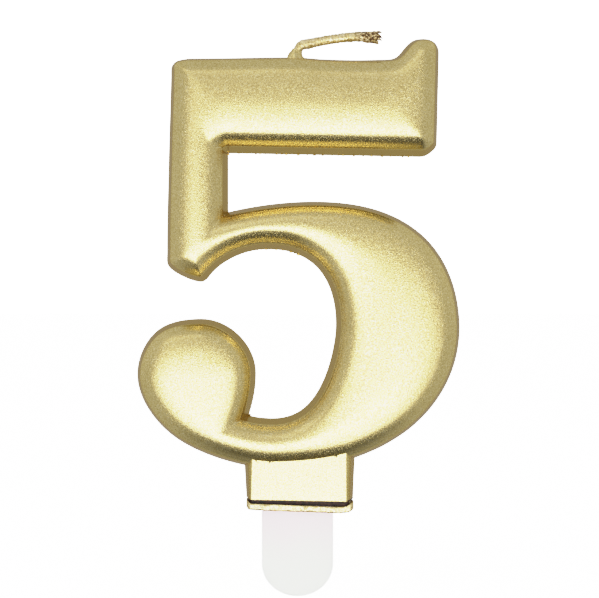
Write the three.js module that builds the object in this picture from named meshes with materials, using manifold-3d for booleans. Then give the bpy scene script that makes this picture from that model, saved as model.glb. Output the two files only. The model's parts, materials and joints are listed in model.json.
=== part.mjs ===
// Number birthday candle: a moulded wax figure 5 with a metallic gold finish, its folded wick, the strip
// that closes its foot, and the flat plastic pick that stands it in a cake.
//
// Millimetres, +Z up. The origin is on the pick's centre line, in the plane of the underside of the
// closing strip, which is the plane of the cake's top. The figure faces -Y and reads from that side.
// The figure is one casting: every stroke has a drafted wall, a rolled shoulder and a shallow domed face,
// and where two strokes meet at an inside corner their shoulders meet in a valley.
import * as THREE from "three";
import { mergeVertices } from "three/addons/utils/BufferGeometryUtils.js";
import Module from "manifold-3d";

const wasm = await Module();
wasm.setup();

// ---------------------------------------------------------------- driving dimensions
const BACK_Y = 3.6; // flat back of the figure
// height of the surface above the back at a distance in from the stroke's rear outline
const PROFILE = [
  [0, 0],
  [0.85, 5.9],
  [1.25, 6.76],
  [1.9, 7.45],
  [2.6, 8.07],
  [3.2, 8.43],
  [3.9, 8.66],
  [4.9, 8.83],
  [7.4, 9.04],
];
const DATUM = -0.65; // the outline's heights are drawn from a line this far above the strip's underside
const GRID = 0.35; // step of the distance field
const FLATNESS = 0.025; // how far an outline may be from its exact curve

const FOOT_TOP = 11.9; // where the foot ends inside the lowest stroke
const FOOT_BOTTOM = 2.1; // lower edge of the foot's face
const NECK = [-8.9, 9.6, -2.4, 2.6, 1.5]; // x0, x1, y0, y1 and underside of the recessed neck

const STRIP = [-9.6, 10.2, -3.3, 3.45, 0, 1.2]; // x0, x1, y0, y1, z0, z1
const STRIP_CORNER = 0.7;

const PICK_WIDTH = 13.3;
const PICK_THICK = 1.6;
const PICK_TIP = -15.98; // lowest point of the rounded end
const PICK_TOP = 10.3; // hidden end, inside the foot
const SLOT_CLEAR = 0.25; // between the pick and its slot, each side
const SLOT_TOP = 10.8;

const WICK_RADIUS = 0.8;
const WICK_CLEAR = 0.3; // between the wick and its hole in the wax
const FOLD = [0.5, 0, 86.72]; // where the wick is creased
const KNUCKLE_RADIUS = 0.85;
const ROOT_PATH = [
  [-0.94, 70.7],
  [-0.94, 76.06],
  [-0.84, 81.02],
  [-0.41, 84.49],
  [0.04, 85.61],
];
// centre line of the folded end, and its radius there: it is thicker where the braid opens
const TAIL_PATH = [
  [0.5, 86.72, 0.8],
  [1.97, 87.25, 0.88],
  [4.22, 87.71, 0.84],
  [6.27, 88.03, 0.82],
  [8.51, 88.32, 0.85],
  [10.77, 88.56, 0.92],
  [11.89, 88.6, 1.02],
  [13.95, 88.54, 1.22],
  [15.58, 88.46, 1.12],
];
const WAX_CONE = [-0.42, -0.17, 83.6, 85.43, 1.62, 1.3]; // x at its foot and top, z0, z1, and radii

// ---------------------------------------------------------------- outlines
const V = (x, y) => new THREE.Vector2(x, y);
const D = (x, y) => V(x, y + DATUM);
// points along chained cubic curves: a start point, then three points for each curve
function chain(start, curves, n = 14) {
  const out = [D(...start)];
  let p = D(...start);
  for (const [a, b, c] of curves) {
    const pts = new THREE.CubicBezierCurve(
      p,
      D(...a),
      D(...b),
      D(...c),
    ).getPoints(n);
    out.push(...pts.slice(1));
    p = D(...c);
  }
  return out;
}

const TOP_LEFT = chain(
  [-20.189, 85.547],
  [
    [
      [-20.954, 85.532],
      [-22.414, 85.294],
      [-22.829, 85.049],
    ],
    [
      [-24.08, 84.314],
      [-23.823, 83.361],
      [-23.849, 82.075],
    ],
  ],
);
const LEFT = chain(
  [-23.849, 82.075],
  [
    [
      [-23.959, 76.583],
      [-24.173, 71.908],
      [-24.283, 66.415],
    ],
    [
      [-24.401, 60.508],
      [-24.604, 55.33],
      [-24.604, 49.057],
    ],
  ],
  6,
);
const SPUR = chain(
  [-24.604, 49.057],
  [
    [
      [-24.604, 47.193],
      [-24.949, 46.677],
      [-23.414, 45.515],
    ],
    [
      [-22.249, 44.632],
      [-19.728, 43.489],
      [-18.245, 43.415],
    ],
    [
      [-17.175, 43.362],
      [-16.622, 44.639],
      [-15.744, 45.51],
    ],
  ],
);
const COUNTER = chain(
  [-15.744, 45.51],
  [
    [
      [-13.311, 47.925],
      [-9.412, 49.547],
      [-5.943, 49.547],
    ],
    [
      [-2.881, 49.547],
      [-0.826, 49.298],
      [1.787, 47.691],
    ],
    [
      [5.808, 45.217],
      [7.245, 40.247],
      [7.245, 35.472],
    ],
    [
      [7.245, 32.38],
      [6.203, 27.843],
      [4.924, 24.977],
    ],
    [
      [2.917, 20.479],
      [0.228, 17.698],
      [-4.811, 17.698],
    ],
    [
      [-5.838, 17.698],
      [-7.874, 17.881],
      [-8.683, 18.139],
    ],
  ],
);
const BALL_TOP = chain(
  [-9.06, 18.68],
  [
    [
      [-8.659, 20.083],
      [-7.83, 22.7],
      [-7.83, 26.226],
    ],
    [
      [-7.83, 31.539],
      [-12.836, 36.453],
      [-18.113, 36.453],
    ],
    [
      [-20.576, 36.453],
      [-23.55, 36.113],
      [-25.68, 34.776],
    ],
    [
      [-28.535, 32.985],
      [-30.226, 29.233],
      [-30.226, 26.038],
    ],
  ],
);
const BALL_LEFT = chain(
  [-30.226, 26.038],
  [
    [
      [-30.226, 21.795],
      [-27.311, 17.486],
      [-23.824, 14.681],
    ],
  ],
  20,
);
const BOTTOM = chain(
  [-23.824, 14.681],
  [
    [
      [-18.76, 10.605],
      [-9.5, 8.2],
      [-4.5, 8.2],
    ],
    [
      [0.5, 8.2],
      [7.7, 8.95],
      [11.895, 10.611],
    ],
  ],
  20,
);
const BOWL = chain(
  [11.895, 10.611],
  [
    [
      [14.651, 11.704],
      [16.201, 12.388],
      [18.783, 14.038],
    ],
    [
      [26.06, 18.688],
      [30.585, 26.28],
      [30.585, 34.717],
    ],
    [
      [30.585, 41.548],
      [28.209, 48.424],
      [22.92, 52.771],
    ],
    [
      [17.377, 57.328],
      [10.274, 58.566],
      [3.113, 58.566],
    ],
    [
      [-1.912, 58.566],
      [-7.289, 57.911],
      [-12.183, 56.797],
    ],
  ],
);
const ARM_END = chain(
  [22.925, 66.981],
  [
    [
      [23.844, 66.972],
      [24.433, 67.255],
      [25.144, 67.819],
    ],
    [
      [26.217, 68.67],
      [26.278, 69.014],
      [26.302, 70.189],
    ],
  ],
  8,
);
const SERIF = chain(
  [26.679, 86.415],
  [
    [
      [26.698, 88.275],
      [25.564, 89.264],
      [23.774, 89.264],
    ],
    [
      [21.984, 89.264],
      [21.349, 88.85],
      [20.203, 87.531],
    ],
    [
      [18.983, 86.126],
      [18.856, 85.423],
      [16.698, 85.358],
    ],
  ],
  10,
);
const STEM_RIGHT = -13.06;
const CORNERS = [D(-13.0, 67.68), D(-13.06, 56.6), D(-9.198, 18.274)]; // sharp inside corners of the outline

// each stroke's own closed outline, anticlockwise; neighbouring strokes overlap
const STROKES = [
  [D(-24.2, 67.68), D(-13.0, 67.68), ...ARM_END, ...SERIF, ...TOP_LEFT], // arm
  [D(STEM_RIGHT, 48.2), D(STEM_RIGHT, 85.51), ...TOP_LEFT, ...LEFT, ...SPUR, D(-14.9, 46.9)], // stem
  [D(-24.45, 53.97), ...SPUR, ...COUNTER, D(-13.5, 19.4), D(-20, 22.3), ...BALL_LEFT.slice(5), ...BOTTOM, ...BOWL, D(-13.06, 56.6)], // bowl
  [D(-13.1, 10.0), D(-11.98, 11.7), D(-10.28, 15.1), ...BALL_TOP, ...BALL_LEFT, ...BOTTOM.slice(1, 12)], // ball
].map((pts) => pts.filter((p, i) => p.distanceTo(pts[(i + 1) % pts.length]) > 1e-6));

// signed distance to a closed outline, positive inside
function inside(outline, x, y) {
  let best = Infinity,
    odd = false;
  for (let i = 0, j = outline.length - 1; i < outline.length; j = i++) {
    const a = outline[j],
      b = outline[i],
      ex = b.x - a.x,
      ey = b.y - a.y,
      t = Math.min(
        1,
        Math.max(0, ((x - a.x) * ex + (y - a.y) * ey) / (ex * ex + ey * ey)),
      ),
      dx = x - a.x - t * ex,
      dy = y - a.y - t * ey,
      d = dx * dx + dy * dy;
    if (d < best) best = d;
    if (a.y > y !== b.y > y && x < ((b.x - a.x) * (y - a.y)) / (b.y - a.y) + a.x)
      odd = !odd;
  }
  return (odd ? 1 : -1) * Math.sqrt(best);
}
const depth = (x, y) => Math.max(...STROKES.map((s) => inside(s, x, y)));

// ---------------------------------------------------------------- contours of the distance field
const X0 = -31.6,
  Y0 = 6.4,
  NX = Math.ceil((31.9 - X0) / GRID),
  NY = Math.ceil((89.9 - Y0) / GRID);
const field = new Float64Array((NX + 1) * (NY + 1));
for (let j = 0; j <= NY; j++)
  for (let i = 0; i <= NX; i++)
    field[j * (NX + 1) + i] = depth(X0 + i * GRID, Y0 + j * GRID);

function contours(level) {
  const at = (i, j) => field[j * (NX + 1) + i];
  const point = new Map();
  // the crossing on the edge from node (i, j) along x (k = 0) or y (k = 1), found by bisection
  const crossing = (i, j, k) => {
    const key = (j * (NX + 1) + i) * 2 + k;
    if (!point.has(key)) {
      let lo = 0,
        hi = 1;
      const up = at(i, j) < level;
      for (let n = 0; n < 14; n++) {
        const m = (lo + hi) / 2,
          d = depth(
            X0 + (i + (k ? 0 : m)) * GRID,
            Y0 + (j + (k ? m : 0)) * GRID,
          );
        if (d < level === up) lo = m;
        else hi = m;
      }
      const m = (lo + hi) / 2;
      point.set(
        key,
        V(X0 + (i + (k ? 0 : m)) * GRID, Y0 + (j + (k ? m : 0)) * GRID),
      );
    }
    return key;
  };
  const next = new Map(); // directed with the high side on the left
  for (let j = 0; j < NY; j++)
    for (let i = 0; i < NX; i++) {
      const a = at(i, j) >= level,
        b = at(i + 1, j) >= level,
        c = at(i + 1, j + 1) >= level,
        d = at(i, j + 1) >= level,
        code = (a ? 1 : 0) + (b ? 2 : 0) + (c ? 4 : 0) + (d ? 8 : 0);
      if (code === 0 || code === 15) continue;
      const S = () => crossing(i, j, 0),
        E = () => crossing(i + 1, j, 1),
        N = () => crossing(i, j + 1, 0),
        W = () => crossing(i, j, 1);
      const link = (p, q) => next.set(p, q);
      if (code === 1) link(S(), W());
      else if (code === 2) link(E(), S());
      else if (code === 3) link(E(), W());
      else if (code === 4) link(N(), E());
      else if (code === 6) link(N(), S());
      else if (code === 7) link(N(), W());
      else if (code === 8) link(W(), N());
      else if (code === 9) link(S(), N());
      else if (code === 11) link(E(), N());
      else if (code === 12) link(W(), E());
      else if (code === 13) link(S(), E());
      else if (code === 14) link(W(), S());
      else if (code === 5) {
        link(S(), W());
        link(N(), E());
      } else {
        link(E(), S());
        link(W(), N());
      }
    }
  const loops = [];
  while (next.size) {
    const first = next.keys().next().value;
    const loop = [];
    let k = first;
    do {
      loop.push(point.get(k));
      const n = next.get(k);
      next.delete(k);
      k = n;
    } while (k !== first && next.has(k));
    if (Math.abs(THREE.ShapeUtils.area(loop)) > 0.5) loops.push(loop);
  }
  return loops;
}

// Douglas-Peucker on a closed loop
function thin(loop, tolerance) {
  let far = 0;
  loop.forEach((p, i) => {
    if (p.distanceTo(loop[0]) > loop[far].distanceTo(loop[0])) far = i;
  });
  const keep = new Set([0, far]);
  const split = (a, b) => {
    const p = loop[a],
      q = loop[b % loop.length],
      len = p.distanceTo(q) || 1e-9;
    let worst = tolerance,
      at = -1;
    for (let i = a + 1; i < b; i++) {
      const r = loop[i],
        d =
          Math.abs((q.x - p.x) * (r.y - p.y) - (q.y - p.y) * (r.x - p.x)) / len;
      if (d > worst) {
        worst = d;
        at = i;
      }
    }
    if (at < 0) {
      if (len > 7 && b - a > 4) at = (a + b) >> 1;
      else return;
    }
    keep.add(at);
    split(a, at);
    split(at, b);
  };
  split(0, far);
  split(far, loop.length);
  return [...keep].sort((a, b) => a - b).map((i) => loop[i]);
}

const rings = PROFILE.map(([d, h]) => ({
  h,
  loops: contours(d === 0 ? 0.0005 : d).map((l) => thin(l, d === 0 ? FLATNESS : FLATNESS * 1.2)),
}));
// put the sharp inside corners back into the rear outline
for (const c of CORNERS) {
  const loop = rings[0].loops[0];
  let at = 0,
    best = Infinity;
  loop.forEach((p, i) => {
    const q = loop[(i + 1) % loop.length],
      d = p.distanceTo(c) + q.distanceTo(c) - p.distanceTo(q);
    if (d < best) {
      best = d;
      at = i;
    }
  });
  loop.splice(at + 1, 0, c.clone());
}

// ---------------------------------------------------------------- the casting's surface
const pos = [];
const tri = [];
const vertex = (p, h) => {
  pos.push(p.x, BACK_Y - h, p.y);
  return pos.length / 3 - 1;
};
for (const ring of rings)
  ring.index = ring.loops.map((l) => l.map((p) => vertex(p, ring.h)));
const containsPoint = (loop, p) => inside(loop, p.x, p.y) > 0;
// turns the long thin triangles of a planar fill into even ones: an edge is swapped for the other diagonal of
// its two triangles while the far corner lies inside the first one's circle
function even(list) {
  const X = (i) => pos[i * 3],
    Y = (i) => pos[i * 3 + 2];
  const turn = (a, b, c) =>
    (X(b) - X(a)) * (Y(c) - Y(a)) - (Y(b) - Y(a)) * (X(c) - X(a));
  const inCircle = (a, b, c, d) => {
    const ax = X(a) - X(d),
      ay = Y(a) - Y(d),
      bx = X(b) - X(d),
      by = Y(b) - Y(d),
      cx = X(c) - X(d),
      cy = Y(c) - Y(d);
    return (
      (ax * ax + ay * ay) * (bx * cy - cx * by) -
        (bx * bx + by * by) * (ax * cy - cx * ay) +
        (cx * cx + cy * cy) * (ax * by - bx * ay) >
      1e-7
    );
  };
  for (let pass = 0, flips = 1; flips && pass < 60; pass++) {
    flips = 0;
    const side = new Map(); // directed edge -> its triangle and far corner
    list.forEach((t, n) =>
      t.forEach((a, k) => side.set(a + "_" + t[(k + 1) % 3], [n, t[(k + 2) % 3]])),
    );
    const touched = new Set();
    for (const [key, [n, c]] of side) {
      const [a, b] = key.split("_").map(Number),
        other = side.get(b + "_" + a);
      if (!other || a > b || touched.has(n) || touched.has(other[0])) continue;
      const d = other[1];
      if (turn(a, d, c) <= 1e-6 || turn(d, b, c) <= 1e-6) continue;
      if (!inCircle(a, b, c, d)) continue;
      list[n] = [a, d, c];
      list[other[0]] = [d, b, c];
      touched.add(n).add(other[0]);
      flips++;
    }
  }
  return list;
}
// fills between an outer loop and the loops inside it
function fill(outer, outerIndex, holes, holeIndex, flip) {
  const ids = [...outerIndex, ...holeIndex.flat()];
  const list = THREE.ShapeUtils.triangulateShape(
    outer.map((p) => p.clone()),
    holes.map((h) => h.map((p) => p.clone())),
  ).map((t) => t.map((i) => ids[i]));
  for (const [a, b, c] of even(list)) tri.push(...(flip ? [a, c, b] : [a, b, c]));
}
rings.forEach((ring, r) => {
  const above = rings[r + 1];
  ring.loops.forEach((loop, i) => {
    if (THREE.ShapeUtils.area(loop) < 0) return;
    const holes = [],
      ids = [];
    // loops one step further in, and any hole of this same level
    ring.loops.forEach((l, k) => {
      if (THREE.ShapeUtils.area(l) < 0 && containsPoint(loop, l[0])) {
        holes.push(l);
        ids.push(ring.index[k]);
      }
    });
    const inner = above
      ? above.loops
          .map((l, k) => [l, above.index[k]])
          .filter(([l]) => containsPoint(loop, l[0]))
      : [];
    for (const [l, id] of inner) {
      holes.push(l);
      ids.push(id);
    }
    fill(loop, ring.index[i], holes, ids, false);
  });
});
// the flat back
rings[0].loops.forEach((loop, i) =>
  fill(loop, rings[0].index[i], [], [], true),
);

function solid(geometry) {
  let g = new THREE.BufferGeometry().setAttribute(
    "position",
    geometry.getAttribute("position").clone(),
  );
  if (geometry.index) g.setIndex(geometry.index.clone());
  g = mergeVertices(g, 1e-4);
  return new wasm.Manifold(
    new wasm.Mesh({
      numProp: 3,
      vertProperties: new Float32Array(g.attributes.position.array),
      triVerts: new Uint32Array(g.index.array),
    }),
  );
}
function geometry(manifold) {
  const m = manifold.getMesh(),
    v = new Float32Array(m.numVert * 3);
  for (let i = 0; i < m.numVert; i++)
    v.set(m.vertProperties.subarray(i * m.numProp, i * m.numProp + 3), i * 3);
  const g = new THREE.BufferGeometry()
    .setAttribute("position", new THREE.BufferAttribute(v, 3))
    .setIndex(new THREE.BufferAttribute(new Uint32Array(m.triVerts), 1));
  g.computeVertexNormals();
  return g;
}
const surface = new THREE.BufferGeometry().setAttribute(
  "position",
  new THREE.BufferAttribute(new Float32Array(pos), 3),
);
surface.setIndex(tri);
const figure = solid(surface);

// ---------------------------------------------------------------- swept round shapes
// a closed tube through points [x, z, radius] in the plane y = 0
function sweep(path, sides) {
  const p = [],
    t = [];
  path.forEach(([x, z, r], i) => {
    const a = path[Math.max(0, i - 1)],
      b = path[Math.min(path.length - 1, i + 1)],
      l = Math.hypot(b[0] - a[0], b[1] - a[1]),
      tx = (b[0] - a[0]) / l,
      tz = (b[1] - a[1]) / l;
    for (let s = 0; s < sides; s++) {
      const w = (2 * Math.PI * (s + 0.5)) / sides;
      p.push(
        x - tz * r * Math.cos(w),
        r * Math.sin(w),
        z + tx * r * Math.cos(w),
      );
    }
  });
  const n = path.length;
  for (let i = 0; i + 1 < n; i++)
    for (let s = 0; s < sides; s++) {
      const a = i * sides + s,
        b = i * sides + ((s + 1) % sides);
      t.push(a, b + sides, b, a, a + sides, b + sides);
    }
  for (let s = 1; s + 1 < sides; s++) {
    t.push(0, s, s + 1);
    t.push((n - 1) * sides, (n - 1) * sides + s + 1, (n - 1) * sides + s);
  }
  const g = new THREE.BufferGeometry().setAttribute(
    "position",
    new THREE.BufferAttribute(new Float32Array(p), 3),
  );
  g.setIndex(t);
  return solid(g);
}
// turns a shape drawn in x, y and extruded up by z
function slab(shape, z0, z1) {
  const g = new THREE.ExtrudeGeometry(shape, {
    depth: z1 - z0,
    bevelEnabled: false,
    curveSegments: 10,
  });
  g.translate(0, 0, z0);
  return solid(g);
}
function rectangle(x0, x1, y0, y1, r = 0) {
  const s = new THREE.Shape();
  if (!r) {
    s.moveTo(x0, y0);
    s.lineTo(x1, y0);
    s.lineTo(x1, y1);
    s.lineTo(x0, y1);
    s.closePath();
    return s;
  }
  s.moveTo(x0 + r, y0);
  s.lineTo(x1 - r, y0);
  s.absarc(x1 - r, y0 + r, r, -Math.PI / 2, 0);
  s.lineTo(x1, y1 - r);
  s.absarc(x1 - r, y1 - r, r, 0, Math.PI / 2);
  s.lineTo(x0 + r, y1);
  s.absarc(x0 + r, y1 - r, r, Math.PI / 2, Math.PI);
  s.lineTo(x0, y0 + r);
  s.absarc(x0 + r, y0 + r, r, Math.PI, 1.5 * Math.PI);
  return s;
}

// ---------------------------------------------------------------- the figure, with its foot, wick hole and pick slot
const footShape = new THREE.Shape();
[
  [-8.35, -3.4],
  [9.05, -3.4],
  [9.45, -3.02],
  [9.9, -2.3],
  [10.75, 3.6],
  [-10.05, 3.6],
  [-9.2, -2.3],
  [-8.75, -3.02],
].forEach(([x, y], i) => (i ? footShape.lineTo(x, y) : footShape.moveTo(x, y)));
footShape.closePath();
const foot = slab(footShape, FOOT_BOTTOM, FOOT_TOP);
const neck = slab(
  rectangle(NECK[0], NECK[1], NECK[2], NECK[3], 0.4),
  NECK[4],
  FOOT_BOTTOM + 1,
);
const slot = slab(
  rectangle(
    -PICK_WIDTH / 2 - SLOT_CLEAR,
    PICK_WIDTH / 2 + SLOT_CLEAR,
    -PICK_THICK / 2 - SLOT_CLEAR,
    PICK_THICK / 2 + SLOT_CLEAR,
  ),
  -5,
  SLOT_TOP,
);
const cone = sweep(
  [
    [WAX_CONE[0], WAX_CONE[2], WAX_CONE[4]],
    [WAX_CONE[1], WAX_CONE[3], WAX_CONE[5]],
  ],
  16,
);
const hole = sweep(
  [
    ...ROOT_PATH.map(([x, z], i) => [
      x,
      z - (i ? 0 : 0.4),
      WICK_RADIUS + WICK_CLEAR,
    ]),
    [FOLD[0], FOLD[2] + 0.4, WICK_RADIUS + WICK_CLEAR],
  ],
  12,
);
const numeralSolid = figure
  .add(foot)
  .add(neck)
  .add(cone)
  .subtract(hole)
  .subtract(slot);

const gold = new THREE.MeshStandardMaterial({
  color: 0xbfa760,
  metalness: 0.9,
  roughness: 0.38,
});
const numeral = new THREE.Mesh(geometry(numeralSolid), gold);
numeral.name = "numeral";

// ---------------------------------------------------------------- the strip that closes the foot, round the pick
const strip = new THREE.Mesh(
  geometry(
    slab(
      rectangle(STRIP[0], STRIP[1], STRIP[2], STRIP[3], STRIP_CORNER),
      STRIP[4],
      STRIP[5],
    ).subtract(slot),
  ),
  new THREE.MeshStandardMaterial({
    color: 0xb89a55,
    metalness: 0.9,
    roughness: 0.45,
  }),
);
strip.name = "base_strip";

// ---------------------------------------------------------------- the pick
const r = PICK_WIDTH / 2;
const blade = new THREE.Shape();
blade.moveTo(r, PICK_TIP + r);
blade.lineTo(r, PICK_TOP - 1.2);
blade.absarc(r - 1.2, PICK_TOP - 1.2, 1.2, 0, Math.PI / 2);
blade.lineTo(-r + 1.2, PICK_TOP);
blade.absarc(-r + 1.2, PICK_TOP - 1.2, 1.2, Math.PI / 2, Math.PI);
blade.lineTo(-r, PICK_TIP + r);
blade.absarc(0, PICK_TIP + r, r, Math.PI, 2 * Math.PI);
const pickGeometry = new THREE.ExtrudeGeometry(blade, {
  depth: PICK_THICK,
  bevelEnabled: false,
  curveSegments: 20,
});
const pick = new THREE.Mesh(
  pickGeometry,
  new THREE.MeshStandardMaterial({
    color: 0xf4f0ee,
    metalness: 0,
    roughness: 0.4,
    transparent: true,
    opacity: 0.9,
  }),
);
pick.name = "cake_pick";
pick.rotation.x = Math.PI / 2;
pick.position.y = PICK_THICK / 2;

// ---------------------------------------------------------------- the wick: its root in the wax and its folded end
const cotton = new THREE.MeshStandardMaterial({
  color: 0x8a744c,
  metalness: 0.4,
  roughness: 0.6,
});
const root = new THREE.Mesh(
  geometry(sweep(ROOT_PATH.map(([x, z]) => [x, z, WICK_RADIUS]), 10)),
  cotton,
);
root.name = "wick_root";

const knuckle = new THREE.SphereGeometry(KNUCKLE_RADIUS, 14, 10);
knuckle.translate(...FOLD);
const tail = new THREE.Mesh(
  geometry(sweep(TAIL_PATH, 10).add(solid(knuckle))),
  cotton,
);
tail.name = "wick_tail";

// ---------------------------------------------------------------- the assembly
const candleBody = new THREE.Group(); // lifts off the pick
candleBody.add(numeral, strip, root, tail);
const candle = new THREE.Group();
candle.add(pick, candleBody);
export default candle;
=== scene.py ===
# Number birthday candle: the looks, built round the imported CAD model.
# Lengths below are in millimetres in the row's frame (+Z up, the figure faces -Y) and are scaled to metres
# when a mesh is made.
import json
import math

import bmesh
import bpy
import numpy as np
from mathutils import Matrix, Vector, noise
from mathutils.geometry import delaunay_2d_cdt

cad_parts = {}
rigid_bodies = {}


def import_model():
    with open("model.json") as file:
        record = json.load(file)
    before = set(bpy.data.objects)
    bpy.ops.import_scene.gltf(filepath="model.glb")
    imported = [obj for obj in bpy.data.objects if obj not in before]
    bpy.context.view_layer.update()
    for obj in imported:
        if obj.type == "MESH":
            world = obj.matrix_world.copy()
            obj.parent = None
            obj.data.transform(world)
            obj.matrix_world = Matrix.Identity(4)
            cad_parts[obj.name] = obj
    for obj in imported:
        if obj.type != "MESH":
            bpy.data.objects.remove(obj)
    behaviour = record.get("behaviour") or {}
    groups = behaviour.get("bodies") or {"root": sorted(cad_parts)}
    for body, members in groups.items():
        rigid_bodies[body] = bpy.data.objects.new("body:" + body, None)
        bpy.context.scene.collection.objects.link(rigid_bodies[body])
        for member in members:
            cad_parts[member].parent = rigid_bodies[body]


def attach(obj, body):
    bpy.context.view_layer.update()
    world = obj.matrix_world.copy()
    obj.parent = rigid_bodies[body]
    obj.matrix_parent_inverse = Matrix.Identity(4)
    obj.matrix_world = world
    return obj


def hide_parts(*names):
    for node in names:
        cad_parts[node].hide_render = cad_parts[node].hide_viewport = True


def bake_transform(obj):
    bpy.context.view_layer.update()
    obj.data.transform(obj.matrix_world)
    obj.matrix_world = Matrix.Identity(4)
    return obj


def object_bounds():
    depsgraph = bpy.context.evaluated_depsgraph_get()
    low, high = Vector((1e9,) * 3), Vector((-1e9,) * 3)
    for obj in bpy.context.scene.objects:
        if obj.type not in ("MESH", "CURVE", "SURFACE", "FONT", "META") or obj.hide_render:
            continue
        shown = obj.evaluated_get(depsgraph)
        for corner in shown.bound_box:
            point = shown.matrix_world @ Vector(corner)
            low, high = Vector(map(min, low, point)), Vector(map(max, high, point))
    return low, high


for o in list(bpy.data.objects):  # the start-up scene's own cube, light and camera
    bpy.data.objects.remove(o)
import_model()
cad_lo, cad_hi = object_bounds()
MM = 0.001
RNG = np.random.default_rng(505)

# ------------------------------------------------------------------ camera: straight on, level, at the middle of the view
SCALE = 80.0 / 424.0  # millimetres for one pixel of the 599 x 598 frame, at the figure's flat back
DATUM = -0.65  # the outline's heights are drawn from a line this far above the strip's underside
BACK_Y = 3.6
DISTANCE = 450.0  # from the flat back
VIEW_W = 599 * SCALE
cam_data = bpy.data.cameras.new("camera")
cam_data.sensor_width = 36.0
cam_data.lens = 36.0 * DISTANCE / VIEW_W
cam_data.clip_start, cam_data.clip_end = 0.02, 20.0
camera = bpy.data.objects.new("camera", cam_data)
bpy.context.scene.collection.objects.link(camera)
camera.location = Vector(((299.5 - 297.5) * SCALE, BACK_Y - DISTANCE, (512 - 299) * SCALE + DATUM)) * MM
camera.rotation_euler = (math.radians(90), 0, 0)
bpy.context.scene.camera = camera

# ------------------------------------------------------------------ the figure's outline (the same curves as the CAD part)
PROFILE = [  # distance in from the rear outline, height above the flat back, slope there
    (0.00, 0.00, 6.94),
    (0.85, 5.90, 6.60),
    (1.10, 6.55, 1.75),
    (1.50, 7.02, 1.18),
    (1.90, 7.45, 1.02),
    (2.60, 8.07, 0.74),
    (3.20, 8.43, 0.46),
    (3.90, 8.66, 0.22),
    (4.90, 8.83, 0.125),
    (7.40, 9.04, 0.055),
    (12.0, 9.14, 0.0),
]


def at(x, z):
    return (x, z + DATUM)


def bezier(p0, curves, n):
    p = np.array(at(*p0), float)
    out = [p]
    t = np.linspace(0, 1, n + 1)[1:, None]
    for a, b, c in curves:
        a, b, c = (np.array(at(*v), float) for v in (a, b, c))
        out.extend((1 - t) ** 3 * p + 3 * (1 - t) ** 2 * t * a + 3 * (1 - t) * t**2 * b + t**3 * c)
        p = c
    return [tuple(v) for v in out]


N = 24
TOP_LEFT = bezier((-20.189, 85.547), [((-20.954, 85.532), (-22.414, 85.294), (-22.829, 85.049)), ((-24.08, 84.314), (-23.823, 83.361), (-23.849, 82.075))], N)
LEFT = bezier((-23.849, 82.075), [((-23.959, 76.583), (-24.173, 71.908), (-24.283, 66.415)), ((-24.401, 60.508), (-24.604, 55.33), (-24.604, 49.057))], N)
SPUR = bezier((-24.604, 49.057), [((-24.604, 47.193), (-24.949, 46.677), (-23.414, 45.515)), ((-22.249, 44.632), (-19.728, 43.489), (-18.245, 43.415)), ((-17.175, 43.362), (-16.622, 44.639), (-15.744, 45.51))], N)
COUNTER = bezier((-15.744, 45.51), [((-13.311, 47.925), (-9.412, 49.547), (-5.943, 49.547)), ((-2.881, 49.547), (-0.826, 49.298), (1.787, 47.691)), ((5.808, 45.217), (7.245, 40.247), (7.245, 35.472)), ((7.245, 32.38), (6.203, 27.843), (4.924, 24.977)), ((2.917, 20.479), (0.228, 17.698), (-4.811, 17.698)), ((-5.838, 17.698), (-7.874, 17.881), (-8.683, 18.139))], N)
BALL_TOP = bezier((-9.06, 18.68), [((-8.659, 20.083), (-7.83, 22.7), (-7.83, 26.226)), ((-7.83, 31.539), (-12.836, 36.453), (-18.113, 36.453)), ((-20.576, 36.453), (-23.55, 36.113), (-25.68, 34.776)), ((-28.535, 32.985), (-30.226, 29.233), (-30.226, 26.038))], N)
BALL_LEFT = bezier((-30.226, 26.038), [((-30.226, 21.795), (-27.311, 17.486), (-23.824, 14.681))], N)
BOTTOM = bezier((-23.824, 14.681), [((-18.76, 10.605), (-9.5, 8.2), (-4.5, 8.2)), ((0.5, 8.2), (7.7, 8.95), (11.895, 10.611))], N)
BOWL = bezier((11.895, 10.611), [((14.651, 11.704), (16.201, 12.388), (18.783, 14.038)), ((26.06, 18.688), (30.585, 26.28), (30.585, 34.717)), ((30.585, 41.548), (28.209, 48.424), (22.92, 52.771)), ((17.377, 57.328), (10.274, 58.566), (3.113, 58.566)), ((-1.912, 58.566), (-7.289, 57.911), (-12.183, 56.797))], N)
ARM_END = bezier((22.925, 66.981), [((23.844, 66.972), (24.433, 67.255), (25.144, 67.819)), ((26.217, 68.67), (26.278, 69.014), (26.302, 70.189))], N)
SERIF = bezier((26.679, 86.415), [((26.698, 88.275), (25.564, 89.264), (23.774, 89.264)), ((21.984, 89.264), (21.349, 88.85), (20.203, 87.531)), ((18.983, 86.126), (18.856, 85.423), (16.698, 85.358))], N)
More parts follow.
